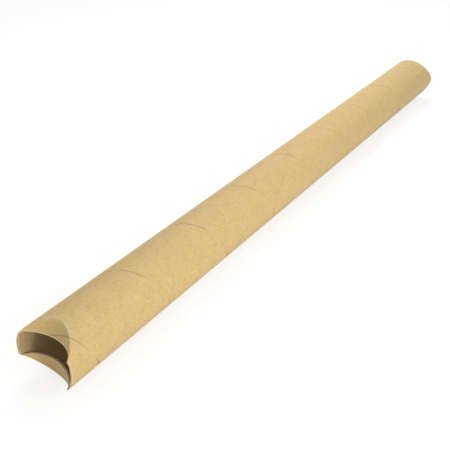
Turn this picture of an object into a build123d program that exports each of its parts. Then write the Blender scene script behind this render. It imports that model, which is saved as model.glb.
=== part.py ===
import os
from math import cos, radians, sin

from build123d import *

# Spiral-wound mailing tube with fold-in ends, in millimetres.
# +X runs along the tube from the open end to the closed end and +Z is up.
# The origin is halfway along the tube, on the surface that the tube lies on.

# Tube
tube_length = 914.4
bore_diameter = 63.5
board_thickness = 1.8

# Curved creases. The depth is how far the middle of a crease lies from the rim,
# the half angle is the share of the rim on each side of the flap's middle that folds,
# and the turn rolls the flap's middle about the tube, towards -Y at the top.
open_upper_depth = 20.5
open_upper_half_angle = 58.5
open_upper_turn = 6.5
open_lower_depth = 17.6
open_lower_half_angle = 60.5
open_lower_turn = 193.5
closed_crease_depth = 24.8
closed_crease_half_angle = 90.0
closed_upper_turn = 3.0
closed_lower_turn = 183.0

# How far a cutting solid stands past the face that it cuts
cut_margin = 2.0

bore_radius = bore_diameter / 2
outer_radius = bore_radius + board_thickness
axis_height = outer_radius
half_length = tube_length / 2


def end_plane(x_end, inward, turn):
    """Plane of a rim: local Y points at the flap's middle and local Z into the tube."""
    outward_from_axis = Vector(0, -sin(radians(turn)), cos(radians(turn)))
    into_tube = Vector(inward, 0, 0)
    return Plane(
        origin=(x_end, 0, axis_height),
        x_dir=outward_from_axis.cross(into_tube),
        z_dir=into_tube,
    )


def crease_plane(rim, depth, half_angle):
    """Plane that holds a curved crease: it leaves the rim along the flap's chord."""
    chord_height = outer_radius * cos(radians(half_angle))
    slope = depth / (outer_radius - chord_height)
    across = rim.x_dir
    along_crease = (rim.y_dir + rim.z_dir * slope).normalized()
    origin = rim.origin + rim.y_dir * chord_height
    return Plane(origin=origin, x_dir=across, z_dir=across.cross(along_crease))


def fold(x_end, inward, turn, depth, half_angle):
    """Return the room that a fold clears and the flap that the fold turns in.

    A flap is the wall beyond its crease, mirrored in the plane of the crease, so it
    keeps the tube's own curve and length, and its thickness stays on its inner side.
    """
    rim = end_plane(x_end, inward, turn)
    crease = crease_plane(rim, depth, half_angle)
    reach = 2 * depth + board_thickness

    with BuildPart(rim) as wedge:
        Cylinder(outer_radius, reach, align=(Align.CENTER, Align.CENTER, Align.MIN))
        split(bisect_by=crease, keep=Keep.BOTTOM)

    with BuildPart(rim.offset(-cut_margin)) as trimmed:
        Cylinder(
            outer_radius + cut_margin,
            reach + cut_margin,
            align=(Align.CENTER, Align.CENTER, Align.MIN),
        )
        split(bisect_by=crease, keep=Keep.BOTTOM)

    with BuildPart() as room:
        add(trimmed.part)
        add(mirror(wedge.part, about=crease, mode=Mode.PRIVATE))

    with BuildPart(rim) as board:
        Cylinder(
            outer_radius + board_thickness,
            reach,
            align=(Align.CENTER, Align.CENTER, Align.MIN),
        )
        Cylinder(
            outer_radius,
            reach,
            align=(Align.CENTER, Align.CENTER, Align.MIN),
            mode=Mode.SUBTRACT,
        )
        split(bisect_by=crease, keep=Keep.BOTTOM)

    with BuildPart() as flap:
        add(mirror(board.part, about=crease, mode=Mode.PRIVATE))
        with Locations(rim.offset(-cut_margin).location):
            Cylinder(
                outer_radius,
                4 * reach,
                align=(Align.CENTER, Align.CENTER, Align.MIN),
                mode=Mode.INTERSECT,
            )
    return room.part, flap.part


open_end = (-half_length, 1)
closed_end = (half_length, -1)
folds = [
    fold(*open_end, open_upper_turn, open_upper_depth, open_upper_half_angle),
    fold(*open_end, open_lower_turn, open_lower_depth, open_lower_half_angle),
    fold(*closed_end, closed_upper_turn, closed_crease_depth, closed_crease_half_angle),
    fold(*closed_end, closed_lower_turn, closed_crease_depth, closed_crease_half_angle),
]

with BuildPart() as tube:
    with BuildSketch(Plane.YZ.offset(-half_length)):
        with Locations((0, axis_height)):
            Circle(outer_radius)
            Circle(bore_radius, mode=Mode.SUBTRACT)
    extrude(amount=tube_length)
    for room, flap in folds:
        add(room, mode=Mode.SUBTRACT)
    for room, flap in folds:
        add(flap)
tube.part.label = "tube"

os.makedirs("parts", exist_ok=True)
export_step(tube.part, "parts/tube.step")
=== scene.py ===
from math import cos, pi, radians

import bmesh
import bpy
from mathutils import Matrix, Vector


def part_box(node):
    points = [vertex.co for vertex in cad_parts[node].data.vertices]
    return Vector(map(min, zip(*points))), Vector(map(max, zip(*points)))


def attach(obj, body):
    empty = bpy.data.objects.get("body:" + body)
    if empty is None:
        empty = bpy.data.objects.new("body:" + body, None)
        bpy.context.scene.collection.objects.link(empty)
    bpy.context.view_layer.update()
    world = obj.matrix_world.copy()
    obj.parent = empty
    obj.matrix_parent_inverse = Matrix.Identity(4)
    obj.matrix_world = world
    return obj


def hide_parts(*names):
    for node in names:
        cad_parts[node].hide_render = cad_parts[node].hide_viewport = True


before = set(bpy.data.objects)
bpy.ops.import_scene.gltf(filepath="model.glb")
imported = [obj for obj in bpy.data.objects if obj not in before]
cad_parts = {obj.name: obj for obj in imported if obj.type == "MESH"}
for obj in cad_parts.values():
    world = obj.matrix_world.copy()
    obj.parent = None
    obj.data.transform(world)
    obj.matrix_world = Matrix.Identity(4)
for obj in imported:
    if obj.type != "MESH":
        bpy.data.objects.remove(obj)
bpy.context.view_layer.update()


# The tube is one piece of board: plies of brown kraft paper, wound in a helix on a
# mandrel and glued. At each end the wall is pressed in along two curved creases, so
# that it closes itself without a cap. The flaps at the open end have sprung back a bit.

tube_low, tube_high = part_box("tube")
outer_radius = min(-tube_low.y, tube_high.y, (tube_high.z - tube_low.z) / 2)
axis_height = tube_low.z + outer_radius
board_thickness = 0.0018
crease_radius = 0.0012
folded_zone = 0.060

# The depth is how far the middle of a crease lies from the rim, the half angle is the
# share of the rim on each side of the flap's middle that folds, and the turn rolls the
# flap's middle about the tube, towards -Y at the top
open_end = {
    "Rim X": tube_low.x,
    "Inward": 1.0,
    "Upper Depth": 0.0205,
    "Upper Half Angle": radians(58.5),
    "Upper Turn": radians(6.5),
    "Lower Depth": 0.0176,
    "Lower Half Angle": radians(60.5),
    "Lower Turn": radians(193.5),
}
closed_end = {
    "Rim X": tube_high.x,
    "Inward": -1.0,
    "Upper Depth": 0.0248,
    "Upper Half Angle": radians(90.0),
    "Upper Turn": radians(3.0),
    "Lower Depth": 0.0248,
    "Lower Half Angle": radians(90.0),
    "Lower Turn": radians(183.0),
}
crease_names = ("Upper ", "Lower ")


class Field:
    """A number in a node tree. Arithmetic on it adds the Math nodes that work it out."""

    def __init__(self, tree, socket):
        self.tree = tree
        self.socket = socket

    def to(self, operation, *others):
        return calculate(self.tree, operation, self, *others)

    def __add__(self, other):
        return self.to("ADD", other)

    def __sub__(self, other):
        return self.to("SUBTRACT", other)

    def __rsub__(self, other):
        return calculate(self.tree, "SUBTRACT", other, self)

    def __mul__(self, other):
        return self.to("MULTIPLY", other)

    def __truediv__(self, other):
        return self.to("DIVIDE", other)

    def __rtruediv__(self, other):
        return calculate(self.tree, "DIVIDE", other, self)

    def __pow__(self, other):
        return self.to("POWER", other)

    def __neg__(self):
        return self.to("MULTIPLY", -1.0)

    __radd__ = __add__
    __rmul__ = __mul__


def feed(tree, socket, value):
    """Give a socket a value, or link it to the field or socket that works the value out."""
    if isinstance(value, Field):
        tree.links.new(value.socket, socket)
    elif isinstance(value, bpy.types.NodeSocket):
        tree.links.new(value, socket)
    else:
        socket.default_value = value


def calculate(tree, operation, *values):
    node = tree.nodes.new("ShaderNodeMath")
    node.operation = operation
    for socket, value in zip(node.inputs, values):
        feed(tree, socket, value)
    return Field(tree, node.outputs[0])


def place(tree, node_type, settings=None, **sockets):
    """Add a node, with its settings, and feed its sockets by name."""
    node = tree.nodes.new(node_type)
    for name, value in (settings or {}).items():
        setattr(node, name, value)
    for name, value in sockets.items():
        feed(tree, node.inputs[name.replace("_", " ")], value)
    return node


def vector_math(tree, operation, *vectors, **sockets):
    node = place(tree, "ShaderNodeVectorMath", {"operation": operation}, **sockets)
    for socket, vector in zip(node.inputs, vectors):
        feed(tree, socket, vector)
    return node.outputs[0]


def mix(tree, kind, share, first, second):
    """Blend two vectors or two colours. The node has sockets of its own for each kind."""
    first_index, second_index, result_index = {"VECTOR": (4, 5, 1), "RGBA": (6, 7, 2)}[kind]
    node = place(tree, "ShaderNodeMix", {"data_type": kind})
    for index, value in ((0, share), (first_index, first), (second_index, second)):
        feed(tree, node.inputs[index], value)
    return node.outputs[result_index]


def numbers(*labels):
    """Sockets of a node group that each carry a number."""
    return dict.fromkeys(labels, "NodeSocketFloat")


def new_group(kind, name, inputs, outputs):
    """Start a node group, and return it with its inputs as fields, by their labels."""
    group = bpy.data.node_groups.new(name, kind)
    for label, socket_type in inputs.items():
        group.interface.new_socket(label, in_out="INPUT", socket_type=socket_type)
    for label, socket_type in outputs.items():
        group.interface.new_socket(label, in_out="OUTPUT", socket_type=socket_type)
    given = group.nodes.new("NodeGroupInput")
    return group, {label: Field(group, given.outputs[label]) for label in inputs}


def close_group(group, results):
    """Lead a node group's results to its outputs, by their labels."""
    out = group.nodes.new("NodeGroupOutput")
    for label, result in results.items():
        feed(group, out.inputs[label], result)
    return group


def use_group(tree, group, values):
    """Place a node group in a tree and feed its inputs, by their labels."""
    kinds = {"GeometryNodeTree": "GeometryNodeGroup", "ShaderNodeTree": "ShaderNodeGroup"}
    return place(tree, kinds[group.bl_idname], {"node_tree": group}, **values)


def blend(low, high, share):
    return low + (high - low) * share


def chosen(test, if_true, if_false):
    """Where the test is 1 the first field, where it is 0 the second."""
    return blend(if_false, if_true, test)


def ramp(field, start, end):
    """A smooth rise from 0, where the field is at the start, to 1, where it is at the end."""
    share = ((field - start) / (end - start)).to("MINIMUM", 1.0).to("MAXIMUM", 0.0)
    return share * share * (3.0 - 2.0 * share)


def lap(angle, near):
    """The same direction as an angle, whole turns away, as close as can be to another."""
    return angle - ((angle - near) / (2 * pi)).to("ROUND") * (2 * pi)


def crease_line(given, name=""):
    """How high above the axis a crease meets the rim, and how it slopes in from there."""
    chord = given["Radius"] * given[name + "Half Angle"].to("COSINE")
    return chord, given[name + "Depth"] / (given["Radius"] - chord)


def curved_crease():
    """The shift that one curved crease gives a point of the wall.

    A crease lies in a plane through a chord of the rim. The wall beyond that plane is
    mirrored in it, which keeps the paper's length, and the fold itself is an arc.
    """
    point_labels = ("In", "Angle", "Layer Radius")
    crease_labels = ("Radius", "Depth", "Half Angle", "Turn", "Crease Radius")
    group, given = new_group(
        "GeometryNodeTree",
        "Curved crease",
        numbers(*point_labels, *crease_labels),
        numbers("Shift In", "Shift Up", "Ridge"),
    )
    chord, slope = crease_line(given)
    length = (slope * slope + 1.0).to("SQRT")
    rise = (given["Angle"] - given["Turn"]).to("COSINE")
    depth_here = slope * (given["Layer Radius"] * rise - chord)
    distance = (given["In"] - depth_here) / length
    beyond = distance.to("ABSOLUTE")

    # The arc is tighter towards the ends of the crease, and it takes only so much board.
    # The least values keep the arithmetic sound at those ends.
    fade_length = 0.010
    corner_share = 0.4
    corner_reach = 0.006
    deepest_cut = 0.0014
    least_dip = 0.05
    least_arc = 1e-7
    into_plane = (slope * rise / length).to("MAXIMUM", least_dip)
    along_plane = (1.0 - into_plane * into_plane).to("SQRT")
    in_crease = ramp(depth_here, 0.0, fade_length)
    at_corner = ramp(depth_here, -corner_reach, 0.0)
    arc = given["Crease Radius"] * blend(corner_share, 1.0, in_crease) * at_corner
    arc = arc.to("MINIMUM", deepest_cut * into_plane / (1.0 - into_plane)) + least_arc
    reach = arc * along_plane * along_plane / into_plane
    flat = beyond * into_plane / along_plane
    rounded = arc / into_plane - (arc * arc - flat * flat).to("SQRT")
    mirrored = chosen(beyond.to("LESS_THAN", reach), rounded, beyond)
    shift = (mirrored - distance) / length
    ridge_width = 0.0024
    return close_group(
        group,
        {
            "Shift In": shift,
            "Shift Up": -(slope * shift),
            "Ridge": ramp(beyond, ridge_width, 0.0) * in_crease,
        },
    )


crease_group = curved_crease()


def folded(tree, given, into, angle, layer_radius, rounding, share=1.0):
    """Roll a point of the board into the tube, then fold a share of it at both creases.

    Returns the point's place and how near it is to the ridge of a fold.
    """
    shift_x, shift_y, shift_z, ridge = 0.0, 0.0, 0.0, 0.0
    for name in crease_names:
        turn = given[name + "Turn"]
        crease = use_group(
            tree,
            crease_group,
            {
                "In": into,
                "Angle": angle,
                "Layer Radius": layer_radius,
                "Radius": given["Radius"],
                "Depth": given[name + "Depth"],
                "Half Angle": given[name + "Half Angle"],
                "Turn": turn,
                "Crease Radius": rounding,
            },
        )
        upward = Field(tree, crease.outputs["Shift Up"]) * share
        shift_x += Field(tree, crease.outputs["Shift In"]) * share
        shift_y -= upward * turn.to("SINE")
        shift_z += upward * turn.to("COSINE")
        ridge += Field(tree, crease.outputs["Ridge"])
    x = given["Rim X"] + given["Inward"] * (into + shift_x)
    y = shift_y - layer_radius * angle.to("SINE")
    z = given["Axis Height"] + layer_radius * angle.to("COSINE") + shift_z
    return place(tree, "ShaderNodeCombineXYZ", X=x, Y=y, Z=z).outputs[0], ridge


columns = 256
row_crowding = 2.3


def grid(tree, rows):
    """A flat grid, with each vertex's row, from 0 to rows, and its angle about the tube."""
    sheet = place(
        tree,
        "GeometryNodeMeshGrid",
        Size_X=float(rows),
        Size_Y=1.0,
        Vertices_X=rows + 1,
        Vertices_Y=columns + 1,
    )
    here = tree.nodes.new("GeometryNodeInputPosition")
    flat = place(tree, "ShaderNodeSeparateXYZ", Vector=here.outputs[0])
    row = Field(tree, flat.outputs["X"]) + rows / 2
    angle = Field(tree, flat.outputs["Y"]) * (2 * pi)
    return sheet.outputs["Mesh"], row, angle


def keep_paper(tree, mesh, along, around, layer, ridge=0.0):
    """Store where each corner lies on the unrolled paper and in the board's thickness,
    and how near it is to the ridge of a fold."""
    unrolled = place(tree, "ShaderNodeCombineXYZ", X=along, Y=around).outputs[0]
    kept = (("Paper", "FLOAT2", unrolled), ("Layer", "FLOAT", layer), ("Ridge", "FLOAT", ridge))
    for name, data_type, value in kept:
        stored = place(
            tree,
            "GeometryNodeStoreNamedAttribute",
            {"data_type": data_type, "domain": "CORNER"},
            Geometry=mesh,
            Name=name,
            Value=value,
        )
        mesh = stored.outputs[0]
    return mesh


def crushed_board(given, angle):
    """The board's thickness at the rim, which is crushed thin beside each end of a crease."""
    crushed_place = 0.0055
    crushed_reach = 0.0055
    crushed_share = 0.55
    crushed = 0.0
    for name in crease_names:
        relative = (angle - given[name + "Turn"]).to("COSINE").to("ARCCOSINE")
        away = (relative - given[name + "Half Angle"]).to("ABSOLUTE") * given["Radius"]
        from_middle = (away - crushed_place).to("ABSOLUTE")
        crushed = ramp(from_middle, crushed_reach, 0.0).to("MAXIMUM", crushed)
    return given["Board"] * (1.0 - crushed_share * crushed)


def flap_sizes(given, name, angle, board):
    """What the inner sheet needs to know of one flap, for the columns at an angle.

    The flap's inner face is the mirror of a cylinder one board larger than the tube. It
    meets the wall's inner face along the inner crease, and near the rim's corners the
    wall's inner face takes over.
    """
    radius = given["Radius"]
    bore = radius - board
    sleeve = radius + board
    chord, slope = crease_line(given, name)
    square = slope * slope + 1.0
    dip = (slope * slope - 1.0) / square
    run = 2.0 * slope / square

    # Where the flap's inner edge leaves the wall, measured from the chord
    half_sum = chord * (1.0 + dip)
    spread = 1.0 - dip * dip
    product = spread * 4.0 * radius * board
    corner = ((half_sum * half_sum + product).to("SQRT") - half_sum) / spread
    corner_angle = ((chord - dip * corner) / bore).to("ARCCOSINE")

    # Which columns lie on the flap, and which at the corner of the rim
    relative_angle = angle - given[name + "Turn"]
    rise = relative_angle.to("COSINE")
    stretch = (sleeve - chord) / (radius - chord)
    edge = (radius * rise - chord) * stretch
    on_flap = edge.to("GREATER_THAN", corner)

    # The inner crease, on the flap's own sheet and on the wall
    flap_height = chord + edge.to("MAXIMUM", corner)
    flap_angle = (flap_height / sleeve).to("ARCCOSINE")
    wall_angle = (sleeve * flap_angle.to("SINE") / bore).to("MINIMUM", 1.0).to("ARCSINE")
    wall_height = bore * wall_angle.to("COSINE")
    drop = flap_height - wall_height
    wall_start = slope * (wall_height - chord) + drop * square / (2.0 * slope)

    # The rim's corner, where the flap's cut edge lies against the wall
    near_corner = edge.to("MAXIMUM", 0.0).to("MINIMUM", corner)
    cut_angle = ((chord - dip * near_corner) / bore).to("ARCCOSINE")
    return {
        "side": relative_angle.to("SINE").to("SIGN"),
        "relative": rise.to("ARCCOSINE"),
        "on_flap": on_flap,
        "on_corner": edge.to("GREATER_THAN", 0.0) * (1.0 - on_flap),
        "flap_angle": flap_angle,
        "flap_end": wall_start - drop / slope,
        "wall_angle": wall_angle,
        "wall_start": wall_start,
        "corner_start": run * near_corner,
        "corner_depth": run * corner,
        "corner_angle": corner_angle,
        "cut_angle": cut_angle.to("MAXIMUM", corner_angle),
        "last_column": ((chord + corner / stretch) / radius).to("ARCCOSINE"),
    }


def outer_sheet(tree, given, row, flap_rows, wall_rows, angle):
    """How far in a vertex of the outer sheet lies, its place and how near a ridge it is.

    Rows crowd at the crease, on both its sides.
    """
    radius = given["Radius"]
    crease_in = 0.0
    for name in crease_names:
        chord, slope = crease_line(given, name)
        here = slope * (radius * (angle - given[name + "Turn"]).to("COSINE") - chord)
        crease_in = here.to("MAXIMUM", crease_in)
    to_crease = 1.0 - (1.0 - (row / flap_rows).to("MINIMUM", 1.0)) ** row_crowding
    past_crease = ((row - flap_rows).to("MAXIMUM", 0.0) / wall_rows) ** row_crowding
    into = crease_in * to_crease + (given["Zone"] - crease_in) * past_crease
    return into, *folded(tree, given, into, angle, radius, given["Crease Radius"])


def inner_sheet(tree, given, row, flap_rows, wall_rows, angle):
    """How far in a vertex of the inner sheet lies, its angle on the wall and its place.

    The first rows are the flaps' inner faces, and the rest are the wall's inner face.
    """
    radius = given["Radius"]
    board = crushed_board(given, angle)
    upper, lower = [flap_sizes(given, name, angle, board) for name in crease_names]
    from_upper = upper["relative"] - upper["last_column"]
    from_lower = lower["relative"] - lower["last_column"]
    between_flaps = blend(
        upper["corner_angle"],
        upper["relative"] + lower["relative"] - lower["corner_angle"],
        from_upper / (from_upper + from_lower),
    )

    # The column's line on the wall, and where it starts, for each stretch of the rim
    wall_angle = lap(given["Upper Turn"] + upper["side"] * between_flaps, angle)
    rim_angle, flap_angle = angle, angle
    start, flap_end, on_flap, gathered = 0.0, 0.0, 0.0, 0.0
    for name, flap in zip(crease_names, (upper, lower)):
        at_corner, on_wall, on_face = [
            lap(given[name + "Turn"] + flap["side"] * flap[key], angle)
            for key in ("cut_angle", "wall_angle", "flap_angle")
        ]
        start = chosen(flap["on_corner"], flap["corner_start"], start)
        start = chosen(flap["on_flap"], flap["wall_start"], start)
        rim_angle = chosen(flap["on_corner"], at_corner, rim_angle)
        rim_angle = chosen(flap["on_flap"], on_wall, rim_angle)
        wall_angle = chosen(flap["on_flap"], on_wall, wall_angle)
        flap_angle = chosen(flap["on_flap"], on_face, flap_angle)
        flap_end = chosen(flap["on_flap"], flap["flap_end"], flap_end)
        on_flap += flap["on_flap"]
        gathered = flap["corner_depth"].to("MAXIMUM", gathered)
    gathered = start.to("MAXIMUM", gathered)

    # The wall's rows straighten out and regain the board's thickness as they run in
    whole_board_from = 0.5
    past = ((row - flap_rows).to("MAXIMUM", 0.0) / wall_rows) ** row_crowding
    first_row = row.to("LESS_THAN", flap_rows + 0.5)
    wall_in = chosen(first_row, start, gathered + (given["Zone"] - gathered) * past)
    straightened = blend(wall_angle, angle, ramp(past, 0.0, 1.0))
    wall_turn = chosen(first_row, rim_angle, straightened)
    regained = blend(board, given["Board"], ramp(past, 0.0, whole_board_from))
    wall_board = chosen(first_row, board, regained)

    folded_in = on_flap * row.to("LESS_THAN", flap_rows - 0.5)
    into = chosen(folded_in, flap_end * (row / flap_rows), wall_in)
    turn = chosen(folded_in, flap_angle, wall_turn)
    layer_radius = chosen(folded_in, radius + board, radius - wall_board)
    position, _ = folded(tree, given, into, turn, layer_radius, 0.0, folded_in)

    # Near the rim the sheet follows the outer sheet, whose creases have blunt ends
    blunt_reach = 0.125
    blunted, _ = folded(tree, given, 0.0, angle, radius, given["Crease Radius"])
    pointed, _ = folded(tree, given, 0.0, angle, radius, 0.0)
    blunting = vector_math(tree, "SUBTRACT", blunted, pointed)
    fading = vector_math(tree, "SCALE", blunting, Scale=ramp(past, blunt_reach, 0.0))
    return into, turn, vector_math(tree, "ADD", position, fading)


wall_labels = ("Radius", "Axis Height", "Board", "Crease Radius", "Zone")
end_labels = tuple(open_end)


def folded_end():
    """One end of the tube: rows that run out along its inner sheet, over the cut edge at
    the rim and back along its outer sheet."""
    tree, given = new_group(
        "GeometryNodeTree",
        "Folded end",
        numbers(*end_labels, *wall_labels),
        {"Mesh": "NodeSocketGeometry"},
    )
    inner_flap_rows, inner_wall_rows = 8, 14
    outer_flap_rows, outer_wall_rows = 18, 18
    rim_row = inner_flap_rows + inner_wall_rows
    sheet, row, angle = grid(tree, rim_row + 1 + outer_flap_rows + outer_wall_rows)

    inner_row = (rim_row - row).to("MAXIMUM", 0.0)
    outer_row = (row - (rim_row + 1)).to("MAXIMUM", 0.0)
    inner_in, inner_turn, inner_place = inner_sheet(
        tree, given, inner_row, inner_flap_rows, inner_wall_rows, angle
    )
    outer_in, outer_place, ridge = outer_sheet(
        tree, given, outer_row, outer_flap_rows, outer_wall_rows, angle
    )
    is_outer = row.to("GREATER_THAN", rim_row + 0.5)
    along = given["Rim X"] + given["Inward"] * chosen(is_outer, outer_in, inner_in)
    around = chosen(is_outer, angle, inner_turn) * given["Radius"]
    mesh = keep_paper(tree, sheet, along, around, 1.0 - is_outer, ridge * is_outer)
    position = mix(tree, "VECTOR", is_outer, inner_place, outer_place)
    moved = place(tree, "GeometryNodeSetPosition", Geometry=mesh, Position=position)
    return close_group(tree, {"Mesh": moved.outputs[0]})


end_group = folded_end()
end_names = ("Open ", "Closed ")
weld_distance = 0.00001


def wound_tube():
    """The whole tube: two folded ends and the straight wall between them."""
    inputs = numbers(*wall_labels, *(end + label for end in end_names for label in end_labels))
    inputs |= dict.fromkeys(("Outer Paper", "Liner Paper", "Cut Edge"), "NodeSocketMaterial")
    tree, given = new_group(
        "GeometryNodeTree", "Wound tube", inputs, {"Mesh": "NodeSocketGeometry"}
    )
    joined = tree.nodes.new("GeometryNodeJoinGeometry")
    for end in end_names:
        values = {label: given[label] for label in wall_labels}
        values |= {label: given[end + label] for label in end_labels}
        folded_mesh = use_group(tree, end_group, values)
        tree.links.new(folded_mesh.outputs["Mesh"], joined.inputs[0])

    outer_rows, inner_rows = 96, 32
    start = given["Open Rim X"] + given["Zone"]
    reach = given["Closed Rim X"] - given["Zone"] - start
    for rows, layer in ((outer_rows, 0.0), (inner_rows, 1.0)):
        sheet, row, angle = grid(tree, rows)
        radius = given["Radius"] - layer * given["Board"]
        along = start + reach * (row / rows)
        position = place(
            tree,
            "ShaderNodeCombineXYZ",
            X=along,
            Y=-(radius * angle.to("SINE")),
            Z=given["Axis Height"] + radius * angle.to("COSINE"),
        )
        mesh = keep_paper(tree, sheet, along, angle * given["Radius"], layer)
        moved = place(
            tree, "GeometryNodeSetPosition", Geometry=mesh, Position=position.outputs[0]
        )
        tree.links.new(moved.outputs[0], joined.inputs[0])
    welded = place(
        tree, "GeometryNodeMergeByDistance", Geometry=joined.outputs[0], Distance=weld_distance
    )
    smooth = place(tree, "GeometryNodeSetShadeSmooth", Geometry=welded.outputs[0])
    real = place(tree, "GeometryNodeRealizeInstances", Geometry=smooth.outputs[0])

    # The cut edge joins the outer sheet, layer 0, to the inner one, layer 1
    outer_below, liner_above = 0.25, 0.75
    stored = place(
        tree, "GeometryNodeInputNamedAttribute", {"data_type": "FLOAT"}, Name="Layer"
    )
    face_layer = Field(tree, stored.outputs["Attribute"])
    coats = (
        ("Cut Edge", True),
        ("Outer Paper", face_layer.to("LESS_THAN", outer_below)),
        ("Liner Paper", face_layer.to("GREATER_THAN", liner_above)),
    )
    mesh = real.outputs[0]
    for label, faces in coats:
        painted = place(
            tree, "GeometryNodeSetMaterial", Geometry=mesh, Selection=faces, Material=given[label]
        )
        mesh = painted.outputs[0]
    return close_group(tree, {"Mesh": mesh})


fibre_labels = ("Cloud Size", "Fibre Length", "Fibre Width", "Speck Size")


def kraft_fibre():
    """Shader group of kraft paper: cloudy tone, long fibres and a few dark specks."""
    group, given = new_group(
        "ShaderNodeTree",
        "Kraft fibre",
        {"Paper": "NodeSocketVector"} | numbers(*fibre_labels),
        numbers("Cloud", "Fibre", "Speck"),
    )
    paper = given["Paper"]
    cloud = place(
        group,
        "ShaderNodeTexNoise",
        Vector=paper,
        Scale=1.0 / given["Cloud Size"],
        Detail=4.0,
        Roughness=0.62,
    )

    # Strands of three directions cross each other
    crossing_angles = (-0.35, 0.12, 0.5)
    stretch = place(
        group,
        "ShaderNodeCombineXYZ",
        X=1.0 / given["Fibre Length"],
        Y=1.0 / given["Fibre Width"],
        Z=1.0,
    )
    fibre = 0.0
    for lean in crossing_angles:
        turned = place(
            group, "ShaderNodeVectorRotate", {"rotation_type": "Z_AXIS"}, Vector=paper, Angle=lean
        )
        strand = place(
            group,
            "ShaderNodeTexNoise",
            Vector=vector_math(group, "MULTIPLY", turned.outputs[0], stretch.outputs[0]),
            Scale=1.0,
            Detail=2.0,
            Roughness=0.5,
            Distortion=0.6,
        )
        fibre += Field(group, strand.outputs["Fac"])

    # The paper is parted into cells, and some of them hold a speck of their own size
    speck_share = 0.12
    smallest, largest = 0.06, 0.16
    bare_cells = 0.72
    cells = place(
        group,
        "ShaderNodeTexVoronoi",
        Vector=paper,
        Scale=speck_share / given["Speck Size"],
        Randomness=1.0,
    )
    pick = place(group, "ShaderNodeSeparateColor", Color=cells.outputs["Color"])
    size = blend(smallest, largest, Field(group, pick.outputs[1]))
    speck = ramp(Field(group, cells.outputs["Distance"]) / size, 1.0, 0.0)
    held = Field(group, pick.outputs[0]).to("GREATER_THAN", bare_cells)
    return close_group(
        group,
        {
            "Cloud": cloud.outputs["Fac"],
            "Fibre": fibre / len(crossing_angles),
            "Speck": speck * held,
        },
    )


fibre_group = kraft_fibre()


def wound_paper():
    """Shader group of a paper strip wound in a helix: fibre that runs with the strip, the open
    butt joint where one turn of it meets the next, and a painted highlight beside the joint."""
    strip_labels = ("Start", "Pitch", "Circumference")
    joint_labels = ("Joint Width", "Tight Turn", "Tight Share", "Tight From")
    group, given = new_group(
        "ShaderNodeTree",
        "Wound paper",
        {"Paper": "NodeSocketVector"} | numbers(*strip_labels, *joint_labels, *fibre_labels),
        numbers("Cloud", "Fibre", "Speck", "Joint", "Beside"),
    )
    flat = place(group, "ShaderNodeSeparateXYZ", Vector=given["Paper"])
    along, around = Field(group, flat.outputs["X"]), Field(group, flat.outputs["Y"])
    pitch, circumference = given["Pitch"], given["Circumference"]
    diagonal = (pitch * pitch + circumference * circumference).to("SQRT")
    strip_width = pitch * circumference / diagonal
    phase = (along - given["Start"]) / pitch - around / circumference
    winding = phase.to("FLOOR")
    across = (phase - winding) * strip_width
    length = (along * pitch + (around + winding * circumference) * circumference) / diagonal
    strip = place(group, "ShaderNodeCombineXYZ", X=length, Y=across)
    fibre_values = {label: given[label] for label in fibre_labels}
    fibre = use_group(group, fibre_group, {"Paper": strip.outputs[0]} | fibre_values)

    # The joint wanders in width and breaks off. On one side of the tube its dark line is
    # faded out, as painted light where light falls on it, from a little way in from the open rim.
    narrowest, widest = 0.4, 1.6
    open_within, shut_beyond = 0.5, 1.5
    shut_below, open_above = 0.3, 0.5
    faded_within, unfaded_beyond = radians(17.0), radians(43.0)
    fade_in_reach = 0.009
    wander = place(
        group,
        "ShaderNodeTexNoise",
        Vector=given["Paper"],
        Scale=30.0,
        Detail=3.0,
        Roughness=0.6,
    )
    gap = Field(group, wander.outputs["Fac"])
    width = given["Joint Width"] * blend(narrowest, widest, gap)
    facing = (around / circumference * (2 * pi) - given["Tight Turn"]).to("COSINE")
    on_lit_side = ramp(facing, cos(unfaded_beyond), cos(faded_within))
    past_fold = ramp(along - given["Tight From"], 0.0, fade_in_reach)
    lit_fade = given["Tight Share"] * on_lit_side * past_fold
    nearest = across.to("MINIMUM", strip_width - across)
    in_gap = ramp(nearest / width, shut_beyond, open_within)
    joint = in_gap * ramp(gap, shut_below, open_above) * (1.0 - lit_fade)

    # Beside the joint the strip's edge is painted lighter: a painted highlight where a lifted
    # edge would catch the light
    highlight_width = 0.0024
    beside = ramp(strip_width - across, highlight_width, 0.0) * (1.0 - joint)
    results = {label: fibre.outputs[label] for label in ("Cloud", "Fibre", "Speck")}
    return close_group(group, results | {"Joint": joint, "Beside": beside})


wound_group = wound_paper()


def rim_wear_and_ridge_highlight():
    """Shader group of the wear along a cut rim, and of a crease's ridge painted lighter: fold
    wear together with a painted highlight.
    """
    group, given = new_group(
        "ShaderNodeTree",
        "Rim wear and ridge highlight",
        {"Paper": "NodeSocketVector"}
        | numbers("First Rim", "Last Rim", "Rim Width", "Ridge", "Fibre"),
        numbers("Rim", "Ridge"),
    )
    flat = place(group, "ShaderNodeSeparateXYZ", Vector=given["Paper"])
    along = Field(group, flat.outputs["X"])
    from_rim = (along - given["First Rim"]).to("MINIMUM", given["Last Rim"] - along)
    fuzz = given["Rim Width"] * (given["Fibre"] + 0.5)
    worn_within, whole_beyond = 0.6, 1.6
    unworn_fibre, worn_fibre = 0.325, 0.575
    rim = ramp(from_rim / fuzz, whole_beyond, worn_within)
    # A crease's ridge is painted lighter, broken up by the fibre: fold wear together with a
    # painted highlight
    ridge = given["Ridge"] * ramp(given["Fibre"], unworn_fibre, worn_fibre)
    return close_group(group, {"Rim": rim, "Ridge": ridge})


wear_and_highlight_group = rim_wear_and_ridge_highlight()


def new_material(name):
    material = bpy.data.materials.new(name)
    material.use_nodes = True
    tree = material.node_tree
    return material, tree, tree.nodes["Principled BSDF"]


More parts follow.
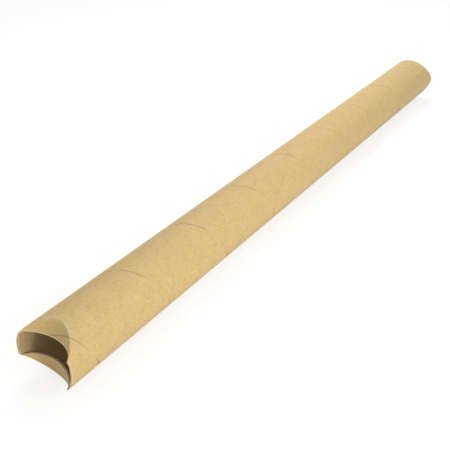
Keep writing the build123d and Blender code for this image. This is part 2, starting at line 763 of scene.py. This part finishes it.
def read_attribute(tree, name):
    node = place(tree, "ShaderNodeAttribute", {"attribute_name": name})
    return Field(tree, node.outputs["Fac"])


def washed(tree, colour, washes):
    """Lay washes over a colour. Each has its mask, its strength and its own colour."""
    for mask, strength, wash in washes:
        colour = mix(tree, "RGBA", mask * strength, colour, wash)
    return colour


def relief(tree, shader, height, distance, strength):
    bump = place(tree, "ShaderNodeBump", Height=height, Distance=distance, Strength=strength)
    tree.links.new(bump.outputs[0], shader.inputs["Normal"])


# The outer strip's joint starts near the open end's rim, at a turn about the tube
strip_pitch = 0.1045
joint_from_rim = 0.0150
joint_turn = radians(43.0)
strip_start = tube_low.x + joint_from_rim - strip_pitch * joint_turn / (2 * pi)
liner_shift = 0.95
liner_start = strip_start + strip_pitch * liner_shift

# The side of the tube where the joint's dark line is faded out, as painted light on the side
# that the light falls on, and how far in from the open rim that fade starts
lit_side_turn = radians(66.0)
fade_from_rim = 0.018


def wound_finish(
    name, dark, middle, light, wear_and_highlight, in_joint, start, joint_width, lit_fade_share, roughness
):
    """Kraft paper in three tones, with its specks, its butt joint and its wear, and with painted
    highlights.
    """
    material, tree, shader = new_material(name)
    paper = place(tree, "ShaderNodeUVMap", {"uv_map": "Paper"})
    wound = use_group(
        tree,
        wound_group,
        {
            "Paper": paper.outputs[0],
            "Start": start,
            "Pitch": strip_pitch,
            "Circumference": 2 * pi * outer_radius,
            "Joint Width": joint_width,
            "Tight Turn": lit_side_turn,
            "Tight Share": lit_fade_share,
            "Tight From": tube_low.x + fade_from_rim,
            "Cloud Size": 0.016,
            "Fibre Length": 0.0052,
            "Fibre Width": 0.0010,
            "Speck Size": 0.0009,
        },
    )
    cloud, fibre, speck, joint, beside = [Field(tree, output) for output in wound.outputs]
    wear = use_group(
        tree,
        wear_and_highlight_group,
        {
            "Paper": paper.outputs[0],
            "First Rim": tube_low.x,
            "Last Rim": tube_high.x,
            "Rim Width": 0.0009,
            "Ridge": read_attribute(tree, "Ridge"),
            "Fibre": fibre,
        },
    )
    worn_rim, ridge_wear_and_highlight = [Field(tree, wear.outputs[label]) for label in ("Rim", "Ridge")]
    pale_cloud = ramp(cloud, 0.222, 0.778)
    dark_fibre = ramp(fibre, 0.49, 0.347)
    light_fibre = ramp(fibre, 0.51, 0.653)
    bark = (0.20, 0.12, 0.05, 1)
    washes = (
        (pale_cloud, 0.6, light),
        (dark_fibre, 0.8, dark),
        (light_fibre, 0.7, light),
        # Painted highlight: the strip's edge beside the joint is painted lighter
        (beside, 0.45, light),
        (speck, 0.6, bark),
        # Crease ridges painted lighter: fold wear together with a painted highlight
        (ridge_wear_and_highlight, 0.5, wear_and_highlight),
        # The joint's dark line, faded out on one side of the tube as painted light
        (joint, 0.5, in_joint),
        (worn_rim, 0.75, wear_and_highlight),
    )
    feed(tree, shader.inputs["Base Color"], washed(tree, middle, washes))
    fibre_gloss = 0.12
    feed(tree, shader.inputs["Roughness"], roughness + fibre_gloss * (0.5 - fibre))
    shader.inputs["Specular IOR Level"].default_value = 0.35
    shader.inputs["Sheen Weight"].default_value = 0.2
    shader.inputs["Sheen Roughness"].default_value = 0.3
    fibre_height, cloud_height, joint_drop = 0.6, 0.4, 0.8
    height = fibre * fibre_height + cloud * cloud_height - joint * joint_drop
    relief(tree, shader, height, distance=0.0006, strength=0.35)
    return material


paper_material = wound_finish(
    "kraft_outer_paper",
    dark=(0.46, 0.30, 0.11, 1),
    middle=(0.61, 0.424, 0.17, 1),
    light=(0.70, 0.515, 0.238, 1),
    wear_and_highlight=(0.78, 0.63, 0.40, 1),
    in_joint=(0.27, 0.16, 0.07, 1),
    start=strip_start,
    joint_width=0.00075,
    lit_fade_share=0.8,
    roughness=0.62,
)
# The liner's tones are its own kraft, made darker as painted shade for the dim inside of the tube
shaded_liner_material = wound_finish(
    "kraft_liner_paper_shaded",
    dark=(0.43, 0.30, 0.145, 1),
    middle=(0.545, 0.39, 0.195, 1),
    light=(0.615, 0.46, 0.25, 1),
    wear_and_highlight=(0.72, 0.58, 0.37, 1),
    in_joint=(0.22, 0.13, 0.06, 1),
    start=liner_start,
    joint_width=0.00030,
    lit_fade_share=0.0,
    roughness=0.75,
)


def cut_board():
    """The cut edge at the rim: soft pulp in plies, with a darker line of glue between."""
    material, tree, shader = new_material("board_cut_edge")
    paper = place(tree, "ShaderNodeUVMap", {"uv_map": "Paper"})
    pulp = use_group(
        tree,
        fibre_group,
        {
            "Paper": paper.outputs[0],
            "Cloud Size": 0.004,
            "Fibre Length": 0.0008,
            "Fibre Width": 0.0003,
            "Speck Size": 0.0003,
        },
    )
    cloud, fibre, speck = [Field(tree, output) for output in pulp.outputs]
    plies = 6
    waviness = 0.5
    glue_width = 0.25
    ply = read_attribute(tree, "Layer") * plies + (fibre - 0.5) * waviness
    glue_line = ramp((ply - ply.to("ROUND")).to("ABSOLUTE"), glue_width, 0.0)
    dark_pulp = (0.66, 0.50, 0.27, 1)
    light_pulp = (0.78, 0.64, 0.40, 1)
    glue = (0.42, 0.28, 0.13, 1)
    bark = (0.25, 0.16, 0.08, 1)
    washes = ((cloud, 1.0, light_pulp), (glue_line, 0.5, glue), (speck, 0.6, bark))
    feed(tree, shader.inputs["Base Color"], washed(tree, dark_pulp, washes))
    shader.inputs["Roughness"].default_value = 0.9
    glue_drop = 0.6
    relief(tree, shader, fibre - glue_line * glue_drop, distance=0.0004, strength=0.5)
    return material


# The nodes are worked out once, and the tube keeps the plain mesh that they give
tube_tree = wound_tube()
tube_values = {
    "Radius": outer_radius,
    "Axis Height": axis_height,
    "Board": board_thickness,
    "Crease Radius": crease_radius,
    "Zone": folded_zone,
    "Outer Paper": paper_material,
    "Liner Paper": shaded_liner_material,
    "Cut Edge": cut_board(),
}
for end, sizes in zip(end_names, (open_end, closed_end)):
    tube_values |= {end + label: size for label, size in sizes.items()}
base = bpy.data.objects.new("tube_base", bpy.data.meshes.new("tube_base"))
bpy.context.scene.collection.objects.link(base)
winding = base.modifiers.new("Wound tube", "NODES")
winding.node_group = tube_tree
for item in tube_tree.interface.items_tree:
    if item.in_out == "INPUT":
        winding[item.identifier] = tube_values[item.name]
bpy.context.view_layer.update()
graph = bpy.context.evaluated_depsgraph_get()
tube_mesh = bpy.data.meshes.new_from_object(base.evaluated_get(graph))
base.modifiers.remove(winding)
bpy.data.objects.remove(base)

shell = bmesh.new()
shell.from_mesh(tube_mesh)
bmesh.ops.recalc_face_normals(shell, faces=shell.faces)
shell.to_mesh(tube_mesh)
shell.free()
sharpest_bend = radians(40)
tube_mesh.set_sharp_from_angle(angle=sharpest_bend)

# The grids bring an empty material slot, ahead of the board's own three
if tube_mesh.materials[0] is None:
    tube_mesh.materials.pop(index=0)
tube = bpy.data.objects.new("mailing_tube", tube_mesh)
bpy.context.scene.collection.objects.link(tube)
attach(tube, "root")
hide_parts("tube")


# The studio: a plain white floor, and soft lamps over the far half of the tube, beside
# its near half and off to the side of its open mouth. The camera stands at the height
# and heading of the photograph.

half_floor = 4.0
floor_corners = [
    (x * half_floor, y * half_floor, 0.0) for x, y in ((-1, -1), (1, -1), (1, 1), (-1, 1))
]
floor_mesh = bpy.data.meshes.new("floor")
floor_mesh.from_pydata(floor_corners, [], [(0, 1, 2, 3)])
floor = bpy.data.objects.new("floor", floor_mesh)
bpy.context.scene.collection.objects.link(floor)

# What the camera sees of the floor is lifted to white, and the tube's shadow stays
camera_lift = 0.6
floor_material, tree, shader = new_material("pale_floor")
shader.inputs["Base Color"].default_value = (0.90, 0.90, 0.90, 1)
shader.inputs["Roughness"].default_value = 1.0
shader.inputs["Specular IOR Level"].default_value = 0.0
white = place(tree, "ShaderNodeEmission", Color=(1, 1, 1, 1), Strength=1.2)
rays = tree.nodes.new("ShaderNodeLightPath")
glow = tree.nodes.new("ShaderNodeMixShader")
feed(tree, glow.inputs[0], Field(tree, rays.outputs["Is Camera Ray"]) * camera_lift)
tree.links.new(shader.outputs[0], glow.inputs[1])
tree.links.new(white.outputs[0], glow.inputs[2])
tree.links.new(glow.outputs[0], tree.nodes["Material Output"].inputs["Surface"])
floor_mesh.materials.append(floor_material)

# The room is white to the camera and in reflections, and dimmer as a light
room_level = 0.62
world = bpy.data.worlds.new("studio")
bpy.context.scene.world = world
world.use_nodes = True
tree = world.node_tree
rays = tree.nodes.new("ShaderNodeLightPath")
backdrop = 0.0
for ray in ("Is Camera Ray", "Is Glossy Ray", "Is Transmission Ray"):
    backdrop += Field(tree, rays.outputs[ray])
room = tree.nodes["Background"]
room.inputs["Color"].default_value = (1, 1, 1, 1)
feed(tree, room.inputs["Strength"], blend(room_level, 1.0, backdrop.to("MINIMUM", 1.0)))


def area_light(name, place_at, aim, size, power):
    """A soft square lamp that looks at a point."""
    data = bpy.data.lights.new(name, "AREA")
    data.size = size
    data.energy = power
    light = bpy.data.objects.new(name, data)
    light.location = place_at
    light.rotation_euler = (Vector(aim) - Vector(place_at)).to_track_quat("-Z", "Y").to_euler()
    bpy.context.scene.collection.objects.link(light)


area_light("far_softbox", (0.32, 0.30, 0.75), aim=(0.30, 0.0, 0.03), size=0.4, power=2.9)
area_light("near_softbox", (-0.26, -0.64, 0.38), aim=(-0.2, 0.0, 0.03), size=0.3, power=1.25)
area_light("mouth_lamp", (-0.68, -1.05, 0.34), aim=(-0.45, 0.0, 0.03), size=0.12, power=2.7)

camera_place = Vector((-0.7527, -0.3830, 0.4438))
camera_right = Vector((0.5488, -0.8359, 0.0)).normalized()
camera_forward = Vector((0.7180, 0.4714, -0.5122)).normalized()
camera_up = camera_right.cross(camera_forward)
camera_data = bpy.data.cameras.new("photo_camera")
camera_data.lens = 55.36
camera_data.sensor_width = 36.0
camera = bpy.data.objects.new("photo_camera", camera_data)
camera_turn = Matrix((camera_right, camera_up, -camera_forward)).transposed()
camera.matrix_world = Matrix.Translation(camera_place) @ camera_turn.to_4x4()
bpy.context.scene.collection.objects.link(camera)
bpy.context.scene.camera = camera

bpy.context.scene.view_settings.view_transform = "Standard"
